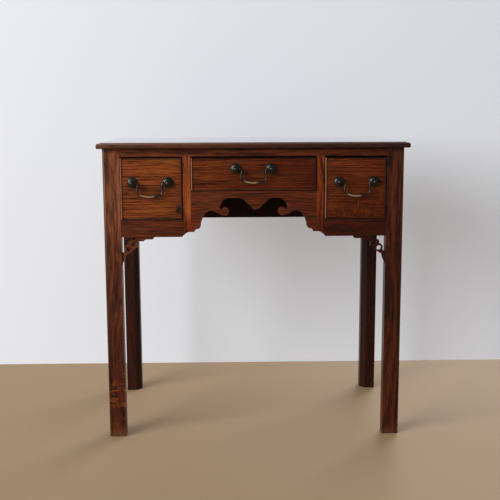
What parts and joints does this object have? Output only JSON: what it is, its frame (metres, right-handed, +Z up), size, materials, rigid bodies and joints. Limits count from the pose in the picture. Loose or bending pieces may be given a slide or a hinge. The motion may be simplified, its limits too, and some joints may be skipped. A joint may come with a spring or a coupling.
{
  "type": "lowboy dressing table",
  "caption": "Small oak lowboy: drawers with bail handles over a scrolled apron, square legs and pierced corner brackets.",
  "frame": {"origin": "on the floor, under the middle of the whole piece, drawer handles and top overhang included", "axes": "+X to the right as seen from the front, +Y to the back, +Z up; the drawers open towards -Y"},
  "size_m": [0.7366, 0.426, 0.72],
  "materials": {
    "oak_top": "waxed, worn, dark",
    "oak_legs": "waxed, dark red-brown",
    "oak_case": "waxed, dark red-brown",
    "oak_apron": "waxed, warm brown",
    "oak_drawer_fronts": "waxed, warm orange-brown",
    "oak_beads": "waxed, worn bright on the nose",
    "oak_drawer_linings": "dry, unpolished",
    "oak_inner_work": "dry, unpolished",
    "oak_back": "dry, stained dark",
    "oak_pegs": "waxed end grain",
    "handle_brass": "old brass, dark patina, rubbed bright low on the bail",
    "nut_brass": "dull brass"
  },
  "bodies": {
    "case": {"apron": "oak_apron", "back_panel": "oak_back", "bottom_rail_left": "oak_case", "bottom_rail_right": "oak_case", "bracket_left": "oak_apron", "bracket_right": "oak_apron", "divider_left": "oak_case", "divider_right": "oak_case", "drawer_stops": "oak_inner_work", "glue_blocks": "oak_inner_work", "joint_pegs": "oak_pegs", "kicker_centre": "oak_inner_work", "kicker_left": "oak_inner_work", "kicker_right": "oak_inner_work", "leg_back_left": "oak_legs", "leg_back_right": "oak_legs", "leg_front_left": "oak_legs", "leg_front_right": "oak_legs", "partition_left": "oak_inner_work", "partition_right": "oak_inner_work", "runner_centre_left": "oak_inner_work", "runner_centre_right": "oak_inner_work", "runner_left_inner": "oak_inner_work", "runner_left_outer": "oak_inner_work", "runner_right_inner": "oak_inner_work", "runner_right_outer": "oak_inner_work", "side_panel_left": "oak_case", "side_panel_right": "oak_case", "top_board": "oak_top", "top_rail": "oak_case"},
    "drawer_left": {"left_drawer_back": "oak_drawer_linings", "left_drawer_bottom": "oak_drawer_linings", "left_drawer_cock_bead": "oak_beads", "left_drawer_front": "oak_drawer_fronts", "left_drawer_handle_nuts": "nut_brass", "left_drawer_handle_posts": "handle_brass", "left_drawer_handle_roses": "handle_brass", "left_drawer_left_side": "oak_drawer_linings", "left_drawer_right_side": "oak_drawer_linings"},
    "drawer_centre": {"centre_drawer_back": "oak_drawer_linings", "centre_drawer_bottom": "oak_drawer_linings", "centre_drawer_cock_bead": "oak_beads", "centre_drawer_front": "oak_drawer_fronts", "centre_drawer_handle_nuts": "nut_brass", "centre_drawer_handle_posts": "handle_brass", "centre_drawer_handle_roses": "handle_brass", "centre_drawer_left_side": "oak_drawer_linings", "centre_drawer_right_side": "oak_drawer_linings"},
    "drawer_right": {"right_drawer_back": "oak_drawer_linings", "right_drawer_bottom": "oak_drawer_linings", "right_drawer_cock_bead": "oak_beads", "right_drawer_front": "oak_drawer_fronts", "right_drawer_handle_nuts": "nut_brass", "right_drawer_handle_posts": "handle_brass", "right_drawer_handle_roses": "handle_brass", "right_drawer_left_side": "oak_drawer_linings", "right_drawer_right_side": "oak_drawer_linings"},
    "bail_left": {"bail_left": "handle_brass"},
    "bail_centre": {"bail_centre": "handle_brass"},
    "bail_right": {"bail_right": "handle_brass"}
  },
  "joints": [
    {"name": "drawer_left_slide", "type": "slide", "parent": "case", "child": "drawer_left", "axis": [0, -1, 0], "range_m": [0, 0.27]},
    {"name": "drawer_centre_slide", "type": "slide", "parent": "case", "child": "drawer_centre", "axis": [0, -1, 0], "range_m": [0, 0.27]},
    {"name": "drawer_right_slide", "type": "slide", "parent": "case", "child": "drawer_right", "axis": [0, -1, 0], "range_m": [0, 0.27]},
    {"name": "bail_left_hinge", "type": "hinge", "parent": "drawer_left", "child": "bail_left", "pos_m": [-0.24451, -0.207, 0.626], "axis": [-1, 0, 0], "range_deg": [-8, 110]},
    {"name": "bail_centre_hinge", "type": "hinge", "parent": "drawer_centre", "child": "bail_centre", "pos_m": [0, -0.207, 0.658], "axis": [-1, 0, 0], "range_deg": [-8, 110]},
    {"name": "bail_right_hinge", "type": "hinge", "parent": "drawer_right", "child": "bail_right", "pos_m": [0.24451, -0.207, 0.626], "axis": [-1, 0, 0], "range_deg": [-8, 110]}
  ]
}
